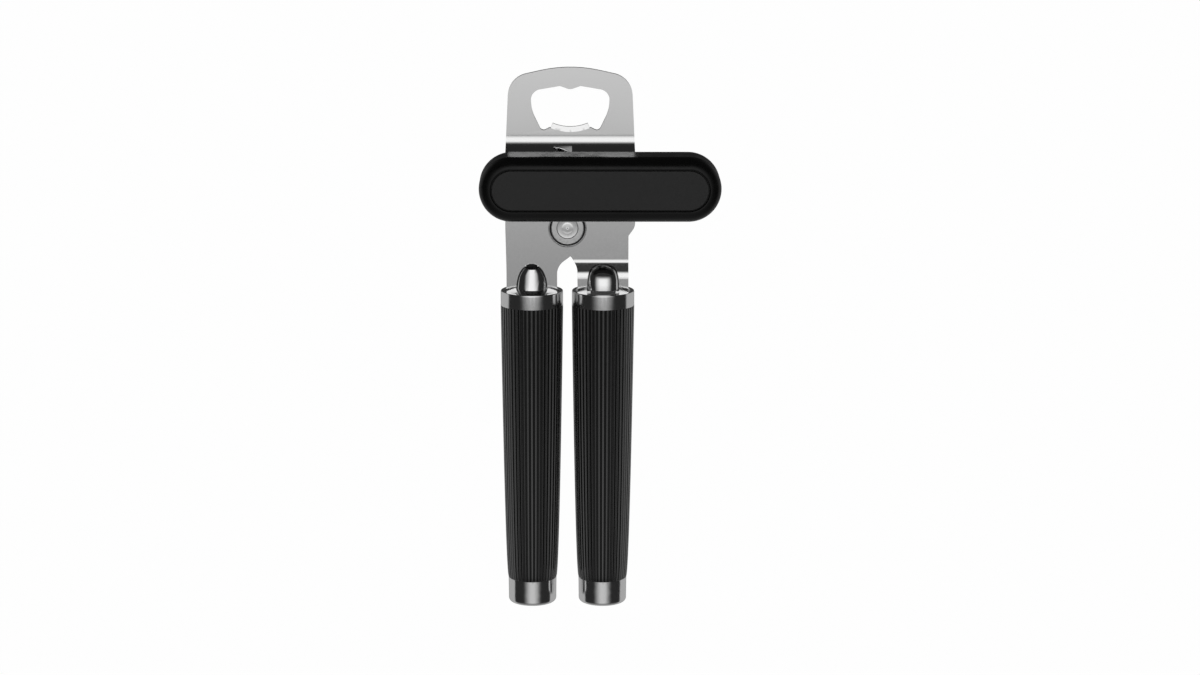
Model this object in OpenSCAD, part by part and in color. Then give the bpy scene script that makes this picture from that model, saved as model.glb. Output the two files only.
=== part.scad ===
// Plier-type manual can opener with a gear-driven cutting wheel, a turning knob and a bottle
// opener at its head. Lengths are millimetres. It stands upright on its two end caps: X runs
// across the handles, Y from front to back and Z upwards. The knob turns about the line x = 0.

/* [Handles] */
// Diameter of each grip where it meets the ferrule
grip_top_d = 24.3; // [20:0.1:30]
// Diameter of each grip where it meets the end cap
grip_end_d = 19.0; // [18:0.1:24]
// Length of each grip
grip_len = 109.4; // [80:0.1:140]
// Gap between the two grips with the handles closed
handle_gap = 3.3; // [1:0.1:12]
// Height of each metal ferrule
ferrule_h = 5.7; // [4:0.1:9]
// Wall of each ferrule
ferrule_wall = 1.5; // [1.1:0.1:1.8]
// Height of each metal end cap
cap_h = 10.1; // [8:0.1:16]
// Wall of each end cap
cap_wall = 1.2; // [0.8:0.1:1.8]
// Rounding of the end cap's lower edge
cap_round = 1.5; // [0.5:0.1:2.5]

/* [Plates] */
// Thickness of the front plate
plate_t = 2.0; // [1.5:0.1:2.6]
// Thickness of the lever plate
lever_t = 2.0; // [1.5:0.1:2.6]
// Gap between the front plate and the lever plate
plate_gap = 0.2; // [0.15:0.05:0.4]
// Width of the front plate's body
body_w = 50.1; // [42:0.1:60]
// Height of the pivot above the ferrules
pivot_rise = 24.4; // [22:0.1:32]
// How far the bottle opener's head is set back behind the front plate
head_setback = 3.8; // [2:0.1:5]
// Height of the bottle opener's head, from the top of its bend
head_h = 29.3; // [27:0.1:36]
// Width of the head where its top corners begin
head_top_w = 47.3; // [40:0.1:57]
// Width of the bottle opener's window
window_w = 30.0; // [25:0.1:34]

/* [Pivot] */
// Radius of the pivot rivet's shank
pivot_r = 4.1; // [3:0.1:5]
// Radius of the pivot rivet's flush head
pivot_head_r = 6.3; // [5.5:0.1:8]
// Running clearance of every bore, measured on the radius
run_clear = 0.05; // [0.03:0.01:0.1]

/* [Drive] */
// Distance from the pivot to the knob's axle, measured across the handles
axle_dx = 12.3; // [11:0.1:15]
// Height of the knob's axle above the pivot
axle_dz = 19.25; // [18:0.05:23]
// Radius of the axle's journal
axle_r = 3.0; // [2.5:0.1:3.6]
// Teeth on each of the two gears
gear_teeth = 16; // [14:1:20]
// Module of the gear teeth
gear_module = 1.15; // [1:0.01:1.3]
// Thickness of the gears
gear_t = 2.5; // [1.8:0.1:3]
// Slope of the line from the axle to the cutter's stud
mesh_angle = -1.7; // [-8:0.1:8]
// Outer radius of the toothed feed wheel
feed_r = 8.8; // [8:0.1:9.5]
// Teeth on the feed wheel
feed_teeth = 24; // [18:1:32]
// Thickness of the feed wheel
feed_t = 2.3; // [1.8:0.1:3]
// Radius of the cutting wheel
cutter_r = 14.2; // [12.5:0.1:14.3]
// Gap for the can's rim, between the feed wheel and the cutting wheel
rim_gap = 1.2; // [0.8:0.1:2]

/* [Knob] */
// Length of the knob
knob_len = 91.5; // [72:0.5:110]
// Width of the knob
knob_w = 24.8; // [20:0.1:30]
// Depth of the knob, from back to front
knob_t = 17.1; // [14:0.1:21]
// Rounding of the knob's front edge
knob_round = 4.6; // [3:0.1:5]
// Width of the knob's rim around its panel
knob_rim = 4.9; // [4:0.1:7]
// Gap between the knob's back and the front of the grips
knob_clear = 0.85; // [0.5:0.05:3]
// Wall of the knob's shell
knob_wall = 2.2; // [1.6:0.1:3]

/* [Hidden] */

$fn = 96;
eps = 0.01;
arc_step = 10;

// Colours
steel = [0.62, 0.62, 0.62];
polished = [0.80, 0.80, 0.81];
dark_steel = [0.45, 0.45, 0.46];
black = [0.06, 0.06, 0.06];
panel_black = [0.16, 0.16, 0.16];

// Handles. The handle axes stand at y = 0 here, and place() moves the whole opener in depth.
ferrule_r = grip_top_d / 2 - 0.05;
ferrule_in_r = ferrule_r - ferrule_wall;
handle_spacing = grip_top_d + handle_gap;
cap_top_r = grip_end_d / 2 - 0.03;
cap_low_r = cap_top_r - 0.12;
core_r = cap_top_r - cap_wall;
grip_z0 = cap_h;
ferrule_z0 = grip_z0 + grip_len;
ferrule_z1 = ferrule_z0 + ferrule_h;
core_recess = 0.75;
core_top_z = ferrule_z1 - core_recess;
cap_floor = 1.3;
grip_power = 0.56;
grip_steps = 22;

// Pivot, axle and stud. The knob's axle is at x = 0.
pivot_x = -axle_dx;
pivot_z = ferrule_z1 + pivot_rise;
left_x = pivot_x - handle_spacing / 2;
right_x = pivot_x + handle_spacing / 2;
axle_z = pivot_z + axle_dz;
pitch_r = gear_module * gear_teeth / 2;
tip_r = pitch_r + 0.92 * gear_module;
stud_x = -2 * pitch_r * cos(mesh_angle);
stud_z = axle_z + 2 * pitch_r * sin(mesh_angle);

// Tangs: the lower ends of the two plates, which run down into the handles
tang_side_gap = 0.8;
tang_w = 2 * (ferrule_in_r - tang_side_gap);
tail_w = 12;
tail_depth = 26;
tail_hole_r = 2.5;
neck_z = ferrule_z0 + 0.3;
tail_z = ferrule_z1 - tail_depth - ferrule_h;
tail_hole_z = tail_z + 9;

// Depth stations, from front to back
plate_y0 = -plate_t / 2;
plate_y1 = plate_t / 2;
lever_y0 = plate_y1 + plate_gap;
lever_y1 = lever_y0 + lever_t;
gear_y0 = lever_y1 + 0.3;
gear_y1 = gear_y0 + gear_t;
feed_y1 = gear_y1 + feed_t;
cutter_y0 = feed_y1 + rim_gap;
cutter_t = 1.2;
cutter_grind = 2.8;
cutter_y1 = cutter_y0 + cutter_t;
washer_t = 0.5;
stud_head_t = 1.0;
stud_y1 = cutter_y1 + 0.1 + washer_t + stud_head_t;
knob_y1 = -(grip_top_d / 2 + knob_clear);
knob_y0 = knob_y1 - knob_t;
flange_t = 0.8;
flange_y0 = plate_y0 - flange_t;
thrust_y0 = flange_y0 - 0.1 - washer_t;
depth_back = max(stud_y1, grip_top_d / 2);
depth_shift = -(knob_y0 + depth_back) / 2;

// Front plate, measured from the pivot. plate_cx is the middle of its body and head.
plate_cx = 1.05;
gear_reach = 2.4;
bend_z0 = axle_dz + tip_r - gear_reach;
bend_z1 = bend_z0 + head_setback * 1.43;
head_top_z = bend_z1 + head_h;
head_side_z = head_top_z - 4.0;
head_peak_z = head_top_z + 1.3;
head_corner_r = 8.9;
head_dome_r = 52;
crotch = [1.0, -11.1];
notch = [23.4, -3.2];
bend_low_r = 4.5;
bend_high_r = 8.0;
bend_step = 3;
outline_step = 4;

// Bottle opener window, measured from plate_cx and head_top_z
window_tooth_z = -8.6;
window_top_z = -7.2;
window_foot_z = -24.8;
crease_z = -24.95;
lip_r = 19.2;
lip_rise = 2.0;
lip_back = 0.45;
lip_t = 1.4;
lip_half_angle = 23;
crease_half_angle = 24.3;
slot_w = 7.0;
slot_cx = -1.8;
slot_low_z = bend_z0 - 2.2;
slot_high_z = bend_z1 - 0.9;

// Lever plate, measured from the pivot
lever_side = handle_spacing / 2 + tang_w / 2;
lever_bend_z0 = -13.6;
lever_bend_z1 = -18.6;
lever_bend_low_r = 6.0;
lever_bend_high_r = 4.0;
arm_r = 7.0;

// Embossed bumps on the tangs: an open-topped one at the left, a closed one at the right
bump_axis_y = plate_y0 + 0.6;
louver_wall = 0.9;
louver_r = 6.2;
louver_h = 11.4;
louver_depth = 5.0;
louver_lean = 0.2;
mouth_h = 10.4;
mouth_slope = 24;
skirt_h = 1.3;
skirt_in_r = 6.4;
skirt_gap = 0.15;
dome_wall = 1.4;
dome_r = 6.3;
dome_h = 11.2;
dome_depth = 5.6;
dome_foot = 0.3;
dome_foot_slope = 12;

// Pivot rivet
pivot_recess = 1.1;
recess_r = pivot_head_r + 0.6;
recess_edge = 0.5;
pivot_tail_t = 1.1;

// Axle
bush_r = axle_r + 2.0;
bush_bore_r = axle_r + run_clear;
flange_r = bush_r + 2.0;
flat_half = axle_r * 0.77;
axle_end_r = axle_r + 0.6;
axle_end_t = 1.2;
stud_r = 3.0;
stud_root_r = 2.4;
hub_r = 5.6;
spigot_r = 4.3;
screw_r = 1.5;
screw_head_r = 3.1;
screw_head_t = 1.4;
screw_len = 9;

// Knob
inlay_t = 1.0;
inlay_sink = 0.3;
inlay_gap = 0.35;
rim_edge = 0.5;
recess_y = knob_y0 + inlay_sink + inlay_t;
knob_front_wall_y = recess_y + knob_wall;
boss_r = axle_r + 3.4;
rib_t = 1.6;

// ---- Outline helpers ----

function unit(v) = v / norm(v);
function spot(p) = [p[0], p[1]];
function wrap(a) = ((a + 540) % 360) - 180;

// Points of one corner b = [x, y, radius], between the corners a and c
function corner(a, b, c, step) =
    let (
        q = spot(b),
        u = spot(a) - q,
        v = spot(c) - q,
        half = acos(max(-1, min(1, unit(u) * unit(v)))) / 2
    )
    (b[2] <= 0 || half > 89.5) ? [q] :
    let (
        reach = min(b[2] / tan(half), 0.49 * min(norm(u), norm(v))),
        r = reach * tan(half),
        start = q + unit(u) * reach,
        end = q + unit(v) * reach,
        mid = q + unit(unit(u) + unit(v)) * r / sin(half),
        a0 = atan2(start[1] - mid[1], start[0] - mid[0]),
        turn = wrap(atan2(end[1] - mid[1], end[0] - mid[0]) - a0),
        n = max(2, ceil(abs(turn) / step))
    )
    [for (i = [0:n]) mid + r * [cos(a0 + turn * i / n), sin(a0 + turn * i / n)]];

// A closed outline through corners of [x, y, radius]
function rounded(c, step = arc_step) =
    let (n = len(c))
    [for (i = [0:n - 1]) each corner(c[(i + n - 1) % n], c[i], c[(i + 1) % n], step)];

// One side of a bent strip of metal of thickness t. The path holds [y, z] points, offset by h
// to its left, and r holds the inner radius of the bend at each point.
function strip_side(path, h, t, r) =
    let (last = len(path) - 1)
    [for (i = [0:last])
        let (
            d0 = unit(path[i == 0 ? 1 : i] - path[i == 0 ? 0 : i - 1]),
            d1 = unit(path[i == last ? last : i + 1] - path[i == last ? last - 1 : i]),
            n0 = [-d0[1], d0[0]],
            n1 = [-d1[1], d1[0]],
            m = unit(n0 + n1),
            p = path[i] + m * h / (m * n0),
            bend = d0[0] * d1[1] - d0[1] * d1[0]
        )
        [p[0], p[1], bend * h > 0 ? r[i] : (bend == 0 ? 0 : r[i] + t)]
    ];

// The closed profile of a strip of thickness t along a path
function strip(path, t, r) =
    let (
        one = strip_side(path, t / 2, t, r),
        two = strip_side(path, -t / 2, t, r),
        n = len(two)
    )
    rounded(concat(one, [for (i = [0:n - 1]) two[n - 1 - i]]), bend_step);

// ---- Shape helpers ----

module place() translate([0, depth_shift, 0]) children();

module at_pivot() translate([pivot_x, 0, pivot_z]) children();

// A round bar along Y
module rod(x, z, r, y0, y1) {
    translate([x, y0, z]) rotate([-90, 0, 0]) cylinder(r = r, h = y1 - y0);
}

// A round bar along Y with two flats
module flatted_rod(x, z, r, y0, y1) {
    intersection() {
        rod(x, z, r, y0, y1);
        translate([x - flat_half, y0 - 1, z - 2 * r]) cube([2 * flat_half, y1 - y0 + 2, 4 * r]);
    }
}

// A 2-D shape in the XZ plane, made solid from y0 to y1
module slab(y0, y1) translate([0, y1, 0]) rotate([90, 0, 0]) linear_extrude(y1 - y0) children();

// A 2-D shape in the YZ plane, made solid from x0 to x1
module across(x0, x1) translate([x0, 0, 0]) rotate([90, 0, 90]) linear_extrude(x1 - x0) children();

// A profile of [radius, y] turned about a line along Y
module turned(x, z) translate([x, 0, z]) rotate([-90, 0, 0]) rotate_extrude() children();

// A stadium-shaped bar along Y, from a profile of [distance from its middle line, y]
module stadium(length, width) {
    half = (length - width) / 2;
    translate([-half, 0, 0]) rotate([-90, 0, 0]) rotate_extrude() children();
    translate([half, 0, 0]) rotate([-90, 0, 0]) rotate_extrude() children();
    across(-half, half) {
        rotate(90) mirror([0, 1]) children();
        rotate(90) mirror([0, 1]) mirror([1, 0]) children();
    }
}

// ---- Handles ----

module ferrule(x) {
    edge = 0.25;
    translate([x, 0, 0]) rotate_extrude() polygon(rounded([
        [ferrule_in_r, ferrule_z0, 0], [ferrule_r, ferrule_z0, 0],
        [ferrule_r, ferrule_z1 - 0.6, 0], [ferrule_r - 0.14, ferrule_z1, edge],
        [ferrule_in_r, ferrule_z1, edge]
    ]));
}

// Radius of the grip at a share s of its length, from its lower end
function grip_radius(s) =
    grip_end_d / 2 + (grip_top_d - grip_end_d) / 2 * pow(s, grip_power);

module grip(x) {
    side = [for (i = [0:grip_steps]) let (s = pow(i / grip_steps, 2))
        [grip_radius(s), grip_z0 + grip_len * s]];
    translate([x, 0, 0]) rotate_extrude()
        polygon(concat([[core_r, ferrule_z0], [core_r, grip_z0]], side));
}

module end_cap(x) {
    translate([x, 0, 0]) rotate_extrude() polygon(rounded([
        [0, 0, 0], [cap_low_r, 0, cap_round], [cap_top_r, cap_h, 0.2],
        [core_r, cap_h, 0], [core_r, cap_floor, 0], [0, cap_floor, 0]
    ]));
}

// The plastic core moulded round the plate's tail, inside the grip
module core(x) {
    difference() {
        union() {
            translate([x, 0, cap_floor]) cylinder(r = core_r, h = ferrule_z0 - cap_floor);
            translate([x, 0, ferrule_z0]) cylinder(r = ferrule_in_r, h = core_top_z - ferrule_z0);
        }
        translate([x - tang_w / 2, plate_y0, neck_z]) cube([tang_w, plate_t, ferrule_h]);
        translate([x - tail_w / 2, plate_y0, tail_z])
            cube([tail_w, plate_t, neck_z - tail_z + eps]);
    }
    rod(x, tail_hole_z, tail_hole_r, plate_y0, plate_y1);
}

// The tail of a plate, from its lower end up to the neck, in corners measured from the pivot
function tail_corners(side) =
    let (x = side * handle_spacing / 2, z0 = tail_z - pivot_z, z1 = neck_z - pivot_z)
    [
        [x - tang_w / 2, z1, 0.4], [x - tail_w / 2, z1, 0.8],
        [x - tail_w / 2, z0, 1.5], [x + tail_w / 2, z0, 1.5],
        [x + tail_w / 2, z1, 0.8], [x + tang_w / 2, z1, 0.4]
    ];

// ---- Front plate ----

module plate_outline() {
    tang_in = -handle_spacing / 2 + tang_w / 2;
    half = body_w / 2;
    top_half = head_top_w / 2;
    polygon(rounded(concat(
        tail_corners(-1),
        [
            [tang_in, crotch[1] - 3.8, 6.0], [crotch[0], crotch[1], 0.4],
            [crotch[0] + 2.0, crotch[1] + 1.4, 1.5], [crotch[0] + 12, crotch[1] + 3.3, 22],
            [notch[0], notch[1], 0.5], [plate_cx + half, notch[1] + 3.8, 5],
            [plate_cx + half, bend_z0, 0],
            [plate_cx + top_half, head_side_z, head_corner_r],
            [plate_cx, head_peak_z, head_dome_r],
            [plate_cx - top_half, head_side_z, head_corner_r],
            [plate_cx - half, bend_z0, 0], [plate_cx - half, 0, 30],
            [-handle_spacing / 2 - tang_w / 2, -16, 30]
        ]
    ), outline_step));
}

module window_outline() {
    w = window_w / 2;
    right = [
        [w * 0.265, window_top_z, 1.0], [w * 1.01, window_top_z - 1.9, 4.3],
        [w, window_top_z - 9.2, 14], [w * 0.73, window_foot_z, 1.9]
    ];
    left = [for (i = [len(right) - 1:-1:0]) [-right[i][0], right[i][1], right[i][2]]];
    crease = [for (a = [crease_half_angle:-crease_half_angle / 6:-crease_half_angle])
        [lip_r * sin(a), crease_z + lip_r * (1 - cos(a)), 0]];
    translate([plate_cx, head_top_z])
        polygon(rounded(concat([[0, window_tooth_z, 3.2]], right, crease, left), outline_step));
}

// The bottle opener's lifting lip: part of a cone that leans backwards from the window's foot
module opener_lip() {
    y0 = plate_y0 + head_setback;
    translate([plate_cx, 0, head_top_z + crease_z + lip_r])
        rotate([-90, 0, 0]) rotate([0, 0, 90 - lip_half_angle])
        rotate_extrude(angle = 2 * lip_half_angle) polygon([
            [lip_r + 0.5, y0], [lip_r, y0], [lip_r - lip_rise, y0 + lip_back],
            [lip_r - lip_rise, y0 + lip_back + lip_t], [lip_r + 0.5, y0 + lip_t]
        ]);
}

// A closed form of ovals stacked upwards. Each row is [z, half width, half depth], and square
// sets how square the ovals are: 2 makes ellipses.
module stacked_ovals(cx, cy, rows, square) {
    steps = 32;
    last = len(rows) - 1;
    points = [for (row = rows) for (i = [0:steps - 1]) let (
        c = cos(360 * i / steps),
        q = sin(360 * i / steps),
        k = pow(pow(abs(c), square) + pow(abs(q), square), -1 / square)
    ) [cx + row[1] * c * k, cy + row[2] * q * k, row[0]]];
    sides = [for (r = [0:last - 1]) for (i = [0:steps - 1]) let (
        a = r * steps + i,
        b = r * steps + (i + 1) % steps
    ) each [[a, a + steps, b + steps], [a, b + steps, b]]];
    ends = [
        [for (i = [0:steps - 1]) i],
        [for (i = [steps - 1:-1:0]) last * steps + i]
    ];
    polyhedron(points, concat(sides, ends));
}

// The open-topped bump, which leans back as it rises: its outside, or its hollow
module louver_form(wall) {
    z0 = core_top_z - pivot_z;
    stacked_ovals(-handle_spacing / 2, bump_axis_y, [
        for (i = [0:10]) let (t = 0.98 * sin(9 * i))
        [z0 + louver_h * t, louver_r * sqrt(1 - pow(t, 2.4)) * (1 - wall / louver_r),
            louver_depth - wall - louver_lean * louver_h * t]
    ], 2);
}

// The closed bump: its outside, or its hollow
module dome_form(wall) {
    z0 = core_top_z - pivot_z;
    stacked_ovals(handle_spacing / 2, bump_axis_y, [
        for (i = [0:10]) let (t = 0.985 * sin(9 * i))
        [z0 + (dome_h - wall) * t, (dome_r - wall) * sqrt(1 - pow(t, 4)),
            (dome_depth - wall) * pow(1 - pow(t, 2.6), 0.6)]
    ], 2.5);
}

// The open-topped bump's flared foot, which covers the front of the core
module skirt() {
    z0 = core_top_z - pivot_z;
    r = ferrule_in_r - skirt_gap;
    translate([-handle_spacing / 2, 0, z0]) rotate_extrude()
        polygon([[0, 0], [r, 0], [r, 0.2], [skirt_in_r, skirt_h], [0, skirt_h]]);
}

// Keeps what lies in front of y, across a whole plate
module in_front_of(y) {
    intersection() {
        children();
        translate([-60, y - 40, -80]) cube([120, 40, 160]);
    }
}

module front_plate() {
    color(steel) place() at_pivot() difference() {
        union() {
            intersection() {
                slab(plate_y0 - 1, plate_y1 + head_setback + 1) plate_outline();
                across(-60, 60) polygon(strip([
                    [0, tail_z - pivot_z - 5], [0, bend_z0],
                    [head_setback, bend_z1], [head_setback, head_peak_z + 5]
                ], plate_t, [0, bend_low_r, bend_high_r, 0]));
            }
            difference() {
                in_front_of(0) {
                    louver_form(0);
                    skirt();
                }
                translate([-handle_spacing / 2, plate_y0, core_top_z - pivot_z + mouth_h])
                    rotate([mouth_slope, 0, 0]) translate([-10, -20, 0]) cube([20, 20, 10]);
            }
        }
        louver_form(louver_wall);
        slab(plate_y0 + head_setback - 1, plate_y1 + head_setback + 1) window_outline();
        translate([slot_cx - slot_w / 2, plate_y0 - 1, slot_low_z])
            cube([slot_w, plate_t + head_setback + 2, slot_high_z - slot_low_z]);
        rod(0, 0, pivot_r, plate_y0 - 1, plate_y1 + 1);
        turned(0, 0) polygon([
            [0, plate_y0 - 1], [recess_r + recess_edge, plate_y0 - 1],
            [recess_r + recess_edge, plate_y0], [recess_r, plate_y0 + recess_edge],
            [recess_r, plate_y0 + pivot_recess], [0, plate_y0 + pivot_recess]
        ]);
        rod(axle_dx, axle_dz, bush_r, plate_y0 - 1, plate_y1 + 1);
        rod(-handle_spacing / 2, tail_hole_z - pivot_z, tail_hole_r, plate_y0 - 1, plate_y1 + 1);
    }
    color(steel) place() at_pivot() opener_lip();
}

module pivot_rivet() {
    tail_y = lever_y1 + 0.1 + washer_t;
    color(polished) place() turned(pivot_x, pivot_z) polygon(rounded([
        [0, plate_y0 + 0.12, 0], [1.7, plate_y0 + 0.15, 1.5], [2.2, plate_y0 + 0.2, 1.5],
        [3.95, plate_y0 + 0.2, 0.1], [4.2, plate_y0, 0.1], [pivot_head_r, plate_y0, 0.35],
        [pivot_head_r, plate_y0 + pivot_recess, 0], [pivot_r, plate_y0 + pivot_recess, 0],
        [pivot_r, tail_y, 0], [pivot_r + 1.5, tail_y, 0],
        [pivot_r + 1.5, tail_y + pivot_tail_t, 0.8], [0, tail_y + pivot_tail_t, 0]
    ]));
}

// A flat ring round a line along Y
module ring(x, z, r_in, r_out, y0, y1) {
    turned(x, z) polygon([[r_in, y0], [r_out, y0], [r_out, y1], [r_in, y1]]);
}

module pivot_washer() {
    y0 = lever_y1 + 0.1;
    color(dark_steel) place() ring(pivot_x, pivot_z, pivot_r, pivot_r + 2.5, y0, y0 + washer_t);
}

module axle_bush() {
    color(polished) place() turned(0, axle_z) polygon([
        [bush_bore_r, flange_y0], [flange_r, flange_y0], [flange_r, plate_y0],
        [bush_r, plate_y0], [bush_r, lever_y1], [bush_bore_r, lever_y1]
    ]);
}

// ---- Lever ----

// The lever's arm is a round end at the stud and a straight flank down to each shoulder
module lever_outline() {
    sx = stud_x - pivot_x;
    sz = stud_z - pivot_z;
    right_edge = lever_side;
    left_edge = handle_spacing / 2 - tang_w / 2;
    polygon(rounded(concat(
        tail_corners(1),
        [
            [right_edge, 1.0, 5], [10, 5.5, 6],
            [sx + arm_r, sz - 3, 3], [sx + arm_r, sz + arm_r, arm_r], [sx - arm_r, sz + arm_r, arm_r],
            [sx - arm_r, 2, 8], [-8.5, -9.5, 6], [crotch[0], crotch[1] + 0.2, 3],
            [left_edge - 0.2, crotch[1] - 4.5, 6]
        ]
    ), outline_step));
}

module lever_plate() {
    mid_y = lever_y0 + lever_t / 2;
    color(steel) place() at_pivot() difference() {
        union() {
            intersection() {
                slab(plate_y0 - 1, lever_y1 + 1) lever_outline();
                across(-60, 60) polygon(strip([
                    [0, tail_z - pivot_z - 5], [0, lever_bend_z1],
                    [mid_y, lever_bend_z0], [mid_y, stud_z - pivot_z + arm_r + 5]
                ], lever_t, [0, lever_bend_low_r, lever_bend_high_r, 0]));
            }
            difference() {
                in_front_of(0) dome_form(0);
                translate([handle_spacing / 2, plate_y0, core_top_z - pivot_z + dome_foot])
                    rotate([-dome_foot_slope, 0, 0]) translate([-10, -20, -10]) cube([20, 20, 10]);
            }
        }
        dome_form(dome_wall);
        rod(0, 0, pivot_r + run_clear, lever_y0 - 1, lever_y1 + 1);
        rod(stud_x - pivot_x, stud_z - pivot_z, stud_root_r, lever_y0 - 1, lever_y1 + 1);
        rod(handle_spacing / 2, tail_hole_z - pivot_z, tail_hole_r, plate_y0 - 1, plate_y1 + 1);
    }
}

// A shouldered stud riveted into the lever: its journal carries the cutter, its head keeps it on
module cutter_stud() {
    head_y = cutter_y1 + 0.1 + washer_t;
    color(polished) place() turned(stud_x, stud_z) polygon(rounded([
        [0, lever_y0, 0], [stud_root_r, lever_y0, 0], [stud_root_r, lever_y1, 0],
        [stud_r, lever_y1, 0], [stud_r, head_y, 0], [stud_r + 2.4, head_y, 0],
        [stud_r + 2.4, head_y + stud_head_t, 0.6], [0, head_y + stud_head_t, 0]
    ]));
}

module stud_washer() {
    y0 = cutter_y1 + 0.1;
    color(dark_steel) place() ring(stud_x, stud_z, stud_r, stud_r + 2.8, y0, y0 + washer_t);
}

// ---- Gears ----

function involute(a) = tan(a) - a * PI / 180;

// Half of a tooth's angle, in degrees, at radius r of a gear with 20 degree teeth
function tooth_half(r, backlash) =
    let (
        base = pitch_r * cos(20),
        a = acos(min(1, base / r)),
        at_pitch = (PI * gear_module / 2 - backlash) / (2 * pitch_r)
    )
    (at_pitch + involute(20) - involute(a)) * 180 / PI;

module gear_outline(start) {
    root_r = pitch_r - 1.2 * gear_module;
    base_r = pitch_r * cos(20);
    flank = 5;
    backlash = 0.16;
    radii = [for (i = [0:flank]) base_r + (tip_r - base_r) * i / flank];
    function polar(r, a) = r * [cos(a), sin(a)];
    polygon([for (k = [0:gear_teeth - 1]) let (mid = start + 360 * k / gear_teeth) each concat(
        [polar(root_r, mid - tooth_half(base_r, backlash))],
        [for (r = radii) polar(r, mid - tooth_half(r, backlash))],
        [for (i = [flank:-1:0]) polar(radii[i], mid + tooth_half(radii[i], backlash))],
        [polar(root_r, mid + tooth_half(base_r, backlash))]
    )]);
}

// The two gears mesh on the line from the axle to the stud: a tooth of one in a gap of the other
module drive_gear() {
    color(dark_steel) place() difference() {
        translate([0, 0, axle_z]) slab(gear_y0, gear_y1) gear_outline(180 + mesh_angle * -1);
        flatted_rod(0, axle_z, axle_r, gear_y0 - 1, gear_y1 + 1);
    }
}

module cutter_gear() {
    color(dark_steel) place() difference() {
        union() {
            translate([stud_x, 0, stud_z]) slab(gear_y0, gear_y1)
                gear_outline(-mesh_angle + 180 / gear_teeth);
            rod(stud_x, stud_z, hub_r, gear_y1, cutter_y0);
            rod(stud_x, stud_z, spigot_r, cutter_y0, cutter_y1);
        }
        rod(stud_x, stud_z, stud_r + run_clear, gear_y0 - 1, cutter_y1 + 1);
    }
}

// The cutting wheel: flat at the back, ground to an edge from the front
module cutter_wheel() {
    color(polished) place() turned(stud_x, stud_z) polygon([
        [spigot_r, cutter_y0], [cutter_r - cutter_grind, cutter_y0],
        [cutter_r, cutter_y1 - 0.25], [cutter_r - 0.3, cutter_y1], [spigot_r, cutter_y1]
    ]);
}

// The feed wheel: sharp teeth that bite under the can's rim
module feed_wheel() {
    root = feed_r - 0.95;
    color(polished) place() difference() {
        translate([0, 0, axle_z]) slab(gear_y1, feed_y1)
            polygon([for (k = [0:feed_teeth - 1]) each [
                feed_r * [cos(360 * k / feed_teeth), sin(360 * k / feed_teeth)],
                root * [cos(360 * (k + 0.5) / feed_teeth), sin(360 * (k + 0.5) / feed_teeth)]
            ]]);
        flatted_rod(0, axle_z, axle_r, gear_y1 - 1, feed_y1 + 1);
    }
}

module feed_washer() {
    color(dark_steel) place() difference() {
        rod(0, axle_z, axle_r + 1.6, feed_y1, feed_y1 + washer_t);
        flatted_rod(0, axle_z, axle_r, feed_y1 - 1, feed_y1 + washer_t + 1);
    }
}

// ---- Axle and knob ----

module drive_axle() {
    end_y = feed_y1 + washer_t;
    color(polished) place() difference() {
        union() {
            flatted_rod(0, axle_z, axle_r, knob_front_wall_y, thrust_y0);
            rod(0, axle_z, axle_r, thrust_y0, gear_y0 - 0.1);
            flatted_rod(0, axle_z, axle_r, gear_y0 - 0.1, end_y);
            turned(0, axle_z) polygon(rounded([
                [0, end_y, 0], [axle_end_r, end_y, 0],
                [axle_end_r, end_y + axle_end_t, 0.7], [0, end_y + axle_end_t, 0]
            ]));
        }
        rod(0, axle_z, screw_r, knob_front_wall_y - 1, knob_front_wall_y + screw_len);
    }
}

module thrust_washer() {
    color(dark_steel) place()
        ring(0, axle_z, bush_bore_r, flange_r, thrust_y0, thrust_y0 + washer_t);
}

// The spacer between the plate and the knob, which lets the knob pass in front of the grips
module knob_collar() {
    color(black) place() difference() {
        turned(0, axle_z) polygon(rounded([
            [0, knob_y1, 0], [boss_r + 0.8, knob_y1, 0], [boss_r + 0.8, thrust_y0, 0.6],
            [0, thrust_y0, 0]
        ]));
        flatted_rod(0, axle_z, axle_r, knob_y1 - 1, thrust_y0 + 1);
    }
}

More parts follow.
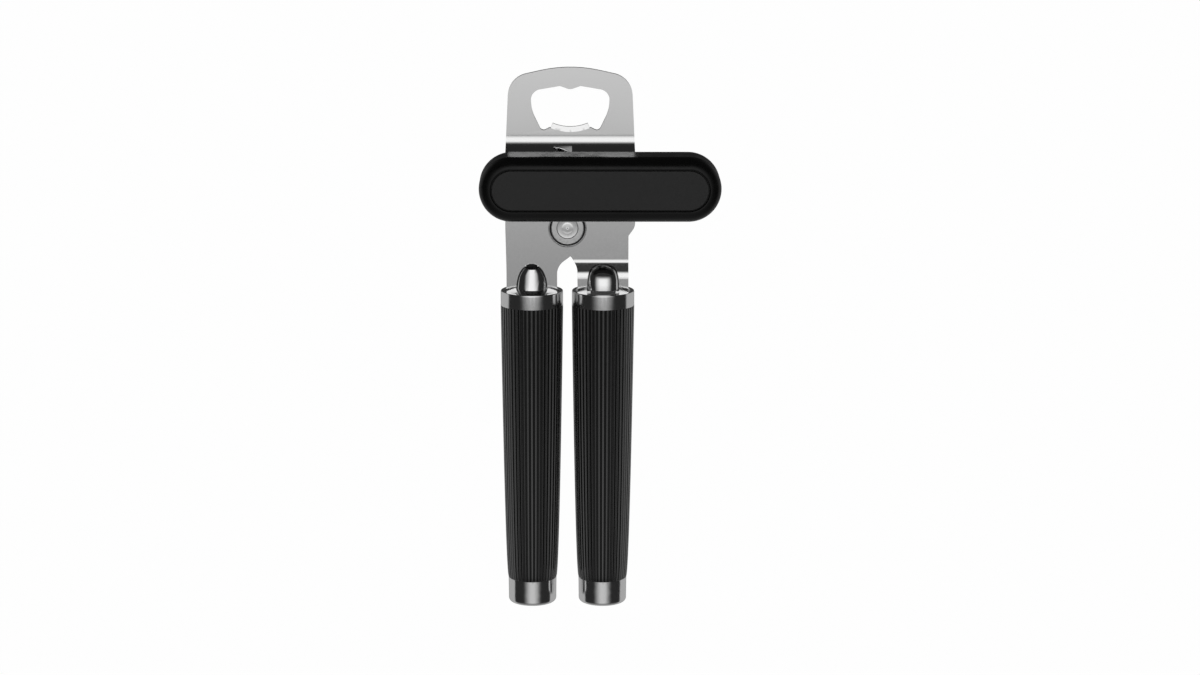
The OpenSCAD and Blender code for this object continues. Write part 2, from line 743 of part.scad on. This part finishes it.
module knob_shell() {
    half_w = knob_w / 2;
    rim_in = half_w - knob_rim + inlay_gap;
    color(black) place() translate([0, 0, axle_z]) difference() {
        union() {
            difference() {
                stadium(knob_len, knob_w) polygon(rounded([
                    [0, knob_y0, 0], [half_w, knob_y0, knob_round],
                    [half_w, knob_y1, 0.6], [0, knob_y1, 0]
                ]));
                stadium(knob_len - 2 * knob_wall, knob_w - 2 * knob_wall) polygon(rounded([
                    [0, knob_front_wall_y, 0],
                    [half_w - knob_wall, knob_front_wall_y, knob_round - knob_wall],
                    [half_w - knob_wall, knob_y1 + 1, 0], [0, knob_y1 + 1, 0]
                ]));
            }
            rod(0, 0, boss_r, knob_front_wall_y - eps, knob_y1);
            for (x = [-0.62, -0.31, 0.31, 0.62])
                translate([x * knob_len / 2 - rib_t / 2, knob_front_wall_y - eps, 1 - half_w])
                    cube([rib_t, (knob_y1 - knob_front_wall_y) * 0.55, knob_w - 2]);
            translate([knob_wall - knob_len / 2 + 1, knob_front_wall_y - eps, -rib_t / 2])
                cube([knob_len - 2 * knob_wall - 2, (knob_y1 - knob_front_wall_y) * 0.75, rib_t]);
        }
        stadium(knob_len - 2 * (half_w - rim_in), 2 * rim_in)
            polygon(concat(
                [[0, knob_y0 - 1], [rim_in + rim_edge, knob_y0 - 1]],
                [for (a = [0:15:90]) [rim_in + rim_edge * (1 - sin(a)),
                    knob_y0 + rim_edge * (1 - cos(a))]],
                [[rim_in, recess_y], [0, recess_y]]
            ));
        flatted_rod(0, 0, axle_r, knob_front_wall_y, knob_y1 + 1);
        rod(0, 0, screw_head_r + 0.2, recess_y - 1, recess_y + screw_head_t);
        rod(0, 0, screw_r + 0.1, recess_y, knob_front_wall_y + 1);
    }
}

module knob_inlay() {
    rim_in = knob_w / 2 - knob_rim;
    color(panel_black) place() translate([0, 0, axle_z])
        stadium(knob_len - 2 * knob_rim, 2 * rim_in) polygon(rounded([
            [0, knob_y0 + inlay_sink, 0], [rim_in, knob_y0 + inlay_sink, 0.25],
            [rim_in, recess_y, 0], [0, recess_y, 0]
        ]));
}

module knob_screw() {
    y0 = recess_y + 0.05;
    color(dark_steel) place() difference() {
        turned(0, axle_z) polygon(rounded([
            [0, y0, 0], [screw_head_r, y0, 0.4], [screw_head_r, recess_y + screw_head_t, 0],
            [screw_r, recess_y + screw_head_t, 0],
            [screw_r, knob_front_wall_y + screw_len - 1, 0.4],
            [0, knob_front_wall_y + screw_len - 1, 0]
        ]));
        for (a = [0, 90]) translate([0, y0 + 0.3, axle_z]) rotate([0, a, 0])
            translate([-1.8, -1, -0.35]) cube([3.6, 1.4, 0.7]);
    }
}

// ---- The pieces ----

module left_ferrule() color(polished) place() ferrule(left_x);
module left_core() color(black) place() core(left_x);
module left_grip() color(black) place() grip(left_x);
module left_end_cap() color(polished) place() end_cap(left_x);
module right_ferrule() color(polished) place() ferrule(right_x);
module right_core() color(black) place() core(right_x);
module right_grip() color(black) place() grip(right_x);
module right_end_cap() color(polished) place() end_cap(right_x);

front_plate();
pivot_rivet();
pivot_washer();
axle_bush();
left_ferrule();
left_core();
left_grip();
left_end_cap();
lever_plate();
cutter_stud();
stud_washer();
right_ferrule();
right_core();
right_grip();
right_end_cap();
knob_shell();
knob_inlay();
knob_screw();
knob_collar();
thrust_washer();
drive_axle();
drive_gear();
feed_wheel();
feed_washer();
cutter_gear();
cutter_wheel();
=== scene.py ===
import math

import bmesh
import bpy
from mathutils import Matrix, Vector


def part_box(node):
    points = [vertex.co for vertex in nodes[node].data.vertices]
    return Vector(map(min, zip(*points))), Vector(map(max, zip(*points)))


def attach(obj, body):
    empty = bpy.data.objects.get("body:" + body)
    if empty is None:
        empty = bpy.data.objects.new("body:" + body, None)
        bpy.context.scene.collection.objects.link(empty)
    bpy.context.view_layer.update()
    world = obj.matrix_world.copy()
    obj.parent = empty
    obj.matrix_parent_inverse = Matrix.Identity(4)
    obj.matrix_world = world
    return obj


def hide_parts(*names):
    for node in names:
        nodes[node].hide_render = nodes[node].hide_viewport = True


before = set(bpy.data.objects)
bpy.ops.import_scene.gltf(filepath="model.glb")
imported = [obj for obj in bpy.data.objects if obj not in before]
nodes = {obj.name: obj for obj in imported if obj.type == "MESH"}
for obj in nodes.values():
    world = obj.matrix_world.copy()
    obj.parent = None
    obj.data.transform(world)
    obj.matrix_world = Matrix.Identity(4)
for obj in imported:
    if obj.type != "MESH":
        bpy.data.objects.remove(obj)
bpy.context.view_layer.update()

MM = 0.001
scene = bpy.context.scene


# ---- Camera ----

DEPTH = 8.9  # the handle axes' distance from the middle, mm
CAMERA_TARGET = Vector((-12.3, DEPTH, 106.33)) * MM
CAMERA_DISTANCE = 1.18
CAMERA_ELEVATION = 12.0
CAMERA_LENS = 91.0
CAMERA_SHIFT = 0.0271


def make_camera():
    data = bpy.data.cameras.new("camera")
    data.sensor_width = 36.0
    data.lens = CAMERA_LENS
    data.shift_x = CAMERA_SHIFT
    data.clip_start = 0.05
    data.clip_end = 60.0
    camera = bpy.data.objects.new("camera", data)
    scene.collection.objects.link(camera)
    tilt = math.radians(CAMERA_ELEVATION)
    back = Vector((0.0, -math.cos(tilt), math.sin(tilt)))
    camera.location = CAMERA_TARGET + back * CAMERA_DISTANCE
    camera.rotation_mode = "QUATERNION"
    camera.rotation_quaternion = (-back).to_track_quat("-Z", "Y")
    scene.camera = camera


make_camera()
scene.view_settings.view_transform = "Standard"


# ---- Node helpers ----


def linear(tone):
    """A grey of 0 to 255 as a linear value."""
    v = tone / 255.0
    return v / 12.92 if v <= 0.04045 else ((v + 0.055) / 1.055) ** 2.4


class Tree:
    """A short way to add nodes and links to a node tree."""

    def __init__(self, tree):
        self.tree = tree
        self.tree.nodes.clear()

    def node(self, kind, **settings):
        made = self.tree.nodes.new(kind)
        for name, value in settings.items():
            setattr(made, name, value)
        return made

    def link(self, a, b):
        self.tree.links.new(a, b)

    def put(self, socket, value):
        if isinstance(value, bpy.types.NodeSocket):
            self.link(value, socket)
        else:
            socket.default_value = value

    def math(self, operation, a, b=None, clamp=False):
        made = self.node("ShaderNodeMath", operation=operation, use_clamp=clamp)
        self.put(made.inputs[0], a)
        if b is not None:
            self.put(made.inputs[1], b)
        return made.outputs[0]

    def smooth(self, value, low, high, to_low=0.0, to_high=1.0):
        made = self.node("ShaderNodeMapRange", interpolation_type="SMOOTHSTEP")
        self.put(made.inputs["Value"], value)
        made.inputs["From Min"].default_value = low
        made.inputs["From Max"].default_value = high
        made.inputs["To Min"].default_value = to_low
        made.inputs["To Max"].default_value = to_high
        return made.outputs["Result"]

    def ramp(self, value, stops):
        """A float ramp through (position, value) stops."""
        made = self.node("ShaderNodeFloatCurve")
        curve = made.mapping.curves[0]
        while len(curve.points) > 2:
            curve.points.remove(curve.points[1])
        curve.points[0].location = stops[0]
        curve.points[1].location = stops[-1]
        for stop in stops[1:-1]:
            curve.points.new(*stop)
        for point in curve.points:
            point.handle_type = "VECTOR"
        made.mapping.use_clip = True
        made.mapping.update()
        self.put(made.inputs["Value"], value)
        return made.outputs[0]

    def mix(self, factor, a, b):
        made = self.node("ShaderNodeMix", data_type="FLOAT")
        self.put(made.inputs["Factor"], factor)
        self.put(made.inputs["A"], a)
        self.put(made.inputs["B"], b)
        return made.outputs["Result"]


# ---- Studio: light by direction, a white backdrop and a pale floor ----


RAMP_TOP = 2.0  # the light that a ramp's 1 stands for


def studio_world():
    """Light by direction: a soft box in front, dark sides, a light rear and a dark top."""
    world = bpy.data.worlds.new("studio")
    scene.world = world
    world.use_nodes = True
    t = Tree(world.node_tree)
    direction = t.node("ShaderNodeTexCoord").outputs["Generated"]
    parts = t.node("ShaderNodeSeparateXYZ")
    t.link(direction, parts.inputs[0])
    x, y, z = parts.outputs
    height = t.math("MULTIPLY", t.math("ARCSINE", z), 180 / math.pi)
    turn = t.math("ARCTAN2", x, t.math("MULTIPLY", y, -1.0))
    side = t.math("MULTIPLY", t.math("ABSOLUTE", turn), 180 / math.pi)
    level = t.math("DIVIDE", t.math("ADD", height, 90.0), 180.0)

    def at(*stops):
        return t.ramp(level, [((h + 90.0) / 180.0, v / RAMP_TOP) for h, v in stops])

    front = at(
        (-90, 0.25), (-32, 0.30), (-24, 0.60), (-17, 0.62), (-13, 0.25), (-10.5, 0.25),
        (-8.5, 0.55), (-6.5, 0.74), (-3, 0.80), (4, 1.05), (22, 1.05), (30, 0.25), (36, 0.02), (90, 0.02),
    )
    flank = at((-90, 0.40), (-40, 0.10), (-20, 0.022), (20, 0.022), (40, 0.02), (90, 0.03))
    rear = at((-90, 0.30), (-25, 0.42), (0, 0.42), (25, 0.30), (45, 0.05), (90, 0.03))
    back = at((-90, 0.40), (-9, 0.36), (-4, 0.08), (20, 0.03), (90, 0.03))
    away = t.smooth(side, 5.0, 46.0)
    behind = t.smooth(side, 91.0, 99.0)
    dim = t.smooth(side, 145.0, 158.0)
    low = t.mix(behind, t.mix(away, front, flank), rear)
    value = t.math("MULTIPLY", t.mix(dim, low, back), RAMP_TOP)
    light = t.node("ShaderNodeBackground")
    colour = t.node("ShaderNodeCombineColor")
    for socket in colour.inputs[:3]:
        t.link(value, socket)
    t.link(colour.outputs[0], light.inputs["Color"])
    backdrop = t.node("ShaderNodeBackground")
    backdrop.inputs["Color"].default_value = (1, 1, 1, 1)
    choose = t.node("ShaderNodeMixShader")
    t.link(t.node("ShaderNodeLightPath").outputs["Is Camera Ray"], choose.inputs[0])
    t.link(light.outputs[0], choose.inputs[1])
    t.link(backdrop.outputs[0], choose.inputs[2])
    t.link(choose.outputs[0], t.node("ShaderNodeOutputWorld").inputs["Surface"])


def floor():
    """A pale floor that only the camera sees, so that it doesn't colour the metal."""
    mesh = bpy.data.meshes.new("floor")
    half = 6.0
    mesh.from_pydata(
        [(-half, -half, 0), (half, -half, 0), (half, half, 0), (-half, half, 0)], [], [(0, 1, 2, 3)]
    )
    made = bpy.data.objects.new("floor", mesh)
    scene.collection.objects.link(made)
    made.location.z = -0.0002
    made.visible_glossy = False
    made.visible_diffuse = False
    made.visible_shadow = False
    material = bpy.data.materials.new("floor_white")
    material.use_nodes = True
    t = Tree(material.node_tree)
    matte = t.node("ShaderNodeBsdfDiffuse")
    matte.inputs["Color"].default_value = (0.9, 0.9, 0.9, 1)
    glow = t.node("ShaderNodeEmission")
    glow.inputs["Color"].default_value = (1, 1, 1, 1)
    glow.inputs["Strength"].default_value = 1.07
    blend = t.node("ShaderNodeMixShader")
    blend.inputs[0].default_value = 0.08
    t.link(glow.outputs[0], blend.inputs[1])
    t.link(matte.outputs[0], blend.inputs[2])
    t.link(blend.outputs[0], t.node("ShaderNodeOutputMaterial").inputs["Surface"])
    mesh.materials.append(material)


studio_world()
floor()


# ---- Materials ----


def surface(name, base, metallic, rough, grain, bump, spread=0.15, coat=0.0, ior=1.5, gloss=0.5):
    """A principled surface whose tone, roughness and fine relief follow one noise.

    grain and bump are the noise's size and the relief's depth, in mm, and spread is the share
    by which the roughness varies.
    """
    material = bpy.data.materials.new(name)
    material.use_nodes = True
    t = Tree(material.node_tree)
    shader = t.node("ShaderNodeBsdfPrincipled")
    shader.inputs["Metallic"].default_value = metallic
    shader.inputs["IOR"].default_value = ior
    shader.inputs["Specular IOR Level"].default_value = gloss
    shader.inputs["Coat Weight"].default_value = coat
    shader.inputs["Coat Roughness"].default_value = 0.08
    t.link(shader.outputs[0], t.node("ShaderNodeOutputMaterial").inputs["Surface"])
    place = t.node("ShaderNodeTexCoord").outputs["Object"]
    noise = t.node("ShaderNodeTexNoise")
    noise.inputs["Scale"].default_value = 1.0 / (grain * MM)
    noise.inputs["Detail"].default_value = 3.0
    t.link(place, noise.inputs["Vector"])
    value = noise.outputs["Fac"]
    tones = t.node("ShaderNodeValToRGB")
    low, high = tones.color_ramp.elements
    low.position, high.position = 0.3, 0.7
    low.color = (*[c * (1 - spread / 3) for c in base], 1)
    high.color = (*base, 1)
    t.link(value, tones.inputs[0])
    t.link(tones.outputs[0], shader.inputs["Base Color"])
    varied = t.smooth(value, 0.3, 0.7, rough * (1 - spread), rough * (1 + spread))
    t.put(shader.inputs["Roughness"], varied)
    relief = t.node("ShaderNodeBump")
    relief.inputs["Strength"].default_value = 0.25
    relief.inputs["Distance"].default_value = bump * MM
    t.link(value, relief.inputs["Height"])
    t.link(relief.outputs[0], shader.inputs["Normal"])
    return material


PLATE = surface("plate_satin", (0.84, 0.84, 0.84), 1.0, 0.12, 0.8, 0.0001, spread=0.06)
POLISHED = surface("polished_metal", (0.88, 0.88, 0.88), 1.0, 0.14, 1.5, 0.0002, spread=0.08)
FASTENER = surface("fastener_metal", (0.80, 0.80, 0.80), 1.0, 0.14, 1.0, 0.0006)
GEAR = surface("gear_metal", (0.50, 0.50, 0.51), 1.0, 0.28, 0.6, 0.002)
GLOSS = surface("knob_gloss", (0.010, 0.010, 0.010), 0.0, 0.28, 3.0, 0.0003, gloss=0.25)
PANEL = surface("knob_panel", (0.018, 0.018, 0.018), 0.0, 0.45, 0.35, 0.003)
GRIP = surface("grip_black", (0.006, 0.006, 0.006), 0.0, 0.17, 2.0, 0.0002, ior=1.8, coat=0.8)
# Near-black for painted shade: the ring in the rivet's gap and the filling and sheet in the left bump's
# hollow
SHADE_BLACK = surface("painted_shade_black", (0.004, 0.004, 0.004), 0.0, 0.6, 0.5, 0.001)
CORE = surface("core_black", (0.014, 0.014, 0.014), 0.0, 0.45, 0.6, 0.003)


# ---- Mesh helpers ----


def dress(obj, material):
    obj.data.materials.clear()
    obj.data.materials.append(material)
    for polygon in obj.data.polygons:
        polygon.material_index = 0


def smooth_by_angle(mesh, degrees):
    """Smooth faces, with sharp edges where faces meet at more than an angle."""
    work = bmesh.new()
    work.from_mesh(mesh)
    limit = math.radians(degrees)
    for face in work.faces:
        face.smooth = True
    for edge in work.edges:
        edge.smooth = len(edge.link_faces) == 2 and edge.calc_face_angle(0.0) < limit
    work.to_mesh(mesh)
    work.free()


def rebuilt(node, name, body, material, bevel, clean=1.0, segments=2, sharp=32):
    """A welded copy of a CAD node, with its edges rounded, that stands for the node."""
    mesh = nodes[node].data.copy()
    mesh.name = name
    work = bmesh.new()
    work.from_mesh(mesh)
    bmesh.ops.remove_doubles(work, verts=work.verts, dist=0.004 * MM)
    bmesh.ops.dissolve_limit(
        work, angle_limit=math.radians(clean), verts=work.verts, edges=work.edges
    )
    bmesh.ops.recalc_face_normals(work, faces=work.faces)
    work.to_mesh(mesh)
    work.free()
    for layer in list(mesh.uv_layers):
        mesh.uv_layers.remove(layer)
    smooth_by_angle(mesh, sharp)
    made = bpy.data.objects.new(name, mesh)
    scene.collection.objects.link(made)
    dress(made, material)
    if bevel:
        edge = made.modifiers.new("edge", "BEVEL")
        edge.width = bevel * MM
        edge.segments = segments
        edge.limit_method = "ANGLE"
        edge.angle_limit = math.radians(sharp)
        edge.use_clamp_overlap = True
    even = made.modifiers.new("even", "WEIGHTED_NORMAL")
    even.weight = 100
    even.keep_sharp = True
    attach(made, body)
    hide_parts(node)
    return made


def piece(name, verts, faces, body, material, sharp=35):
    mesh = bpy.data.meshes.new(name)
    mesh.from_pydata([Vector(v) * MM for v in verts], [], faces)
    work = bmesh.new()
    work.from_mesh(mesh)
    bmesh.ops.remove_doubles(work, verts=work.verts, dist=0.002 * MM)
    bmesh.ops.recalc_face_normals(work, faces=work.faces)
    work.to_mesh(mesh)
    work.free()
    smooth_by_angle(mesh, sharp)
    made = bpy.data.objects.new(name, mesh)
    scene.collection.objects.link(made)
    dress(made, material)
    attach(made, body)
    return made


def box_mm(node):
    low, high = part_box(node)
    return low / MM, high / MM


# ---- Grips: sleeves with fine rounded ribs ----

RIBS = 44
RIB_STEPS = 12
RIB_DEPTH = 0.42
GRIP_TOP_R = 12.15
GRIP_END_R = 9.5
GRIP_POWER = 0.56
GRIP_WALL = 1.5
RIB_LAND = 0.45  # the flat share of each half rib, before its groove


def ribbed_grip(node, name, body):
    low, high = box_mm(node)
    cx, cy = (low.x + high.x) / 2, (low.y + high.y) / 2
    length = high.z - low.z
    inner = GRIP_END_R - GRIP_WALL
    around = RIBS * RIB_STEPS
    levels = 28
    verts, faces = [], []
    for i in range(levels + 1):
        share = (i / levels) ** 1.6
        radius = GRIP_END_R + (GRIP_TOP_R - GRIP_END_R) * share**GRIP_POWER - 0.02
        for k in range(around):
            phase = 2 * (k % RIB_STEPS) / RIB_STEPS - 1
            groove = max(0.0, (abs(phase) - RIB_LAND) / (1 - RIB_LAND))
            dip = RIB_DEPTH * groove * groove * (3 - 2 * groove)
            angle = 2 * math.pi * (k + RIB_STEPS / 2) / around
            r = radius - dip
            verts.append((cx + r * math.cos(angle), cy + r * math.sin(angle), low.z + length * share))
    for i in range(levels):
        for k in range(around):
            a, b = i * around + k, i * around + (k + 1) % around
            faces.append((a, b, b + around, a + around))
    for level, z in ((0, low.z), (levels, high.z)):
        start = len(verts)
        for k in range(around):
            angle = 2 * math.pi * (k + RIB_STEPS / 2) / around
            verts.append((cx + inner * math.cos(angle), cy + inner * math.sin(angle), z))
        for k in range(around):
            j = (k + 1) % around
            faces.append((level * around + k, level * around + j, start + j, start + k))
    first, last = len(verts) - 2 * around, len(verts) - around
    for k in range(around):
        j = (k + 1) % around
        faces.append((first + k, first + j, last + j, last + k))
    made = piece(name, verts, faces, body, GRIP, sharp=50)
    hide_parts(node)


# ---- Turned pieces that the CAD leaves to the looks ----


def turned(name, profile, centre, axis, body, material, segments=160, sharp=35):
    """A closed profile of (radius, distance along the axis), turned about a line along Y or Z."""
    verts, faces = [], []
    count = len(profile)
    for k in range(segments):
        angle = 2 * math.pi * k / segments
        for radius, along in profile:
            u, v = radius * math.cos(angle), radius * math.sin(angle)
            if axis == "Z":
                verts.append((centre[0] + u, centre[1] + v, along))
            else:
                verts.append((centre[0] + u, along, centre[1] + v))
    for k in range(segments):
        a, b = k * count, ((k + 1) % segments) * count
        for i in range(count):
            j = (i + 1) % count
            faces.append((a + i, b + i, b + j, a + j))
    return piece(name, verts, faces, body, material, sharp)


# ---- The pieces ----

rebuilt("front_plate", "plate_front", "frame", PLATE, 0.22)
rebuilt("lever_plate", "plate_lever", "lever", PLATE, 0.22)
ribbed_grip("left_grip", "grip_left", "frame")
ribbed_grip("right_grip", "grip_right", "lever")
for node, body in (("left_ferrule", "frame"), ("right_ferrule", "lever")):
    rebuilt(node, node + "_ring", body, POLISHED, 0, clean=0.01)
for node, body in (("left_end_cap", "frame"), ("right_end_cap", "lever")):
    rebuilt(node, node + "_cup", body, POLISHED, 0, clean=0.01)
rebuilt("pivot_rivet", "rivet_pivot", "frame", POLISHED, 0, clean=0.01)
rebuilt("knob_shell", "knob_body", "drive", GLOSS, 0, clean=0.01)
rebuilt("knob_inlay", "knob_face_panel", "drive", PANEL, 0, clean=0.01)
rebuilt("cutter_wheel", "cutter_disc", "cutter", POLISHED, 0.12, clean=0.01, sharp=12)

CORE_RECESS = 0.75  # from a ferrule's top down to its core's top


def shelf():
    """A metal shelf that closes the top of the right handle, round the lever's tang."""
    low, high = box_mm("right_ferrule")
    z = high.z - CORE_RECESS
    radius = (high.x - low.x) / 2 - 1.6
    turned(
        "shelf_right", [(0, z - 0.3), (radius, z - 0.3), (radius, z + 0.03), (0, z + 0.03)],
        ((low.x + high.x) / 2, DEPTH), "Z", "lever", POLISHED,
    )


shelf()

# The hollow of the left bump, in mm: half width at its foot, height, depth, lean and wall
LOUVER_R = 6.2
LOUVER_H = 11.4
LOUVER_DEPTH = 5.0
LOUVER_LEAN = 0.2
LOUVER_WALL = 0.9
FILLING_GAP = 0.05


def hollow_half_width(height):
    share = math.sqrt(1 - (height / LOUVER_H) ** 2.4)
    return LOUVER_R * share * (1 - LOUVER_WALL / LOUVER_R)


def bump_shade_filling():
    """A near-black filling inside the left bump, to just below its open top, and a near-black sheet
    across the plate: painted shade in the hollow.
    """
    low, high = box_mm("left_ferrule")
    cx, foot = (low.x + high.x) / 2, high.z - CORE_RECESS
    steps = 48
    rows = [foot + 1.0 + 0.9 * i for i in range(9)]
    verts, faces = [], []
    for z in rows:
        wide = hollow_half_width(z - foot) - FILLING_GAP
        deep = LOUVER_DEPTH - LOUVER_WALL - LOUVER_LEAN * (z - foot) - FILLING_GAP
        for k in range(steps):
            angle = 2 * math.pi * k / steps
            y = min(DEPTH - 0.4 + deep * math.sin(angle), DEPTH + 0.95)
            verts.append((cx + wide * math.cos(angle), y, z))
    for i in range(len(rows) - 1):
        for k in range(steps):
            a, b = i * steps + k, i * steps + (k + 1) % steps
            faces.append((a, b, b + steps, a + steps))
    faces.append(tuple(range(steps)))
    faces.append(tuple(range((len(rows) - 1) * steps, len(rows) * steps)))
    piece("bump_shade_filling", verts, faces, "frame", SHADE_BLACK)
    edge = []
    for i in range(13):
        height = 1.0 + 0.84 * i
        edge.append((hollow_half_width(height), foot + height))
    edge += [(-x, z) for x, z in reversed(edge)]
    count = len(edge)
    # A near-black sheet in the plate's opening behind the bump: painted shade
    backing = [(cx + x, DEPTH + y, z) for y in (-0.9, 0.9) for x, z in edge]
    sides = [(i, (i + 1) % count, (i + 1) % count + count, i + count) for i in range(count)]
    ends = [tuple(range(count)), tuple(range(count, 2 * count))]
    piece("bump_shade_backing", backing, sides + ends, "frame", SHADE_BLACK)


bump_shade_filling()


def rivet_shade_ring():
    """A near-black ring in the real recess round the flush rivet: painted shade that darkens the gap."""
    low, high = box_mm("pivot_rivet")
    inner = (high.x - low.x) / 2 + 0.02
    outer = (high.x - low.x) / 2 + 0.58
    front, rear = DEPTH - 0.55, DEPTH + 0.05
    turned(
        "rivet_shade_ring", [(inner, front), (outer, front), (outer, rear), (inner, rear)],
        ((low.x + high.x) / 2, (low.z + high.z) / 2), "Y", "frame", SHADE_BLACK,
    )


rivet_shade_ring()

# The CAD nodes that keep their own shape

for node, material in {
    "left_core": CORE, "right_core": CORE, "pivot_washer": FASTENER, "axle_bush": FASTENER,
    "cutter_stud": FASTENER, "stud_washer": FASTENER, "knob_screw": FASTENER,
    "knob_collar": GLOSS, "thrust_washer": FASTENER, "drive_axle": FASTENER,
    "drive_gear": GEAR, "feed_wheel": GEAR, "feed_washer": FASTENER, "cutter_gear": GEAR,
}.items():
    dress(nodes[node], material)


# ---- Update the view layer ----

bpy.context.view_layer.update()
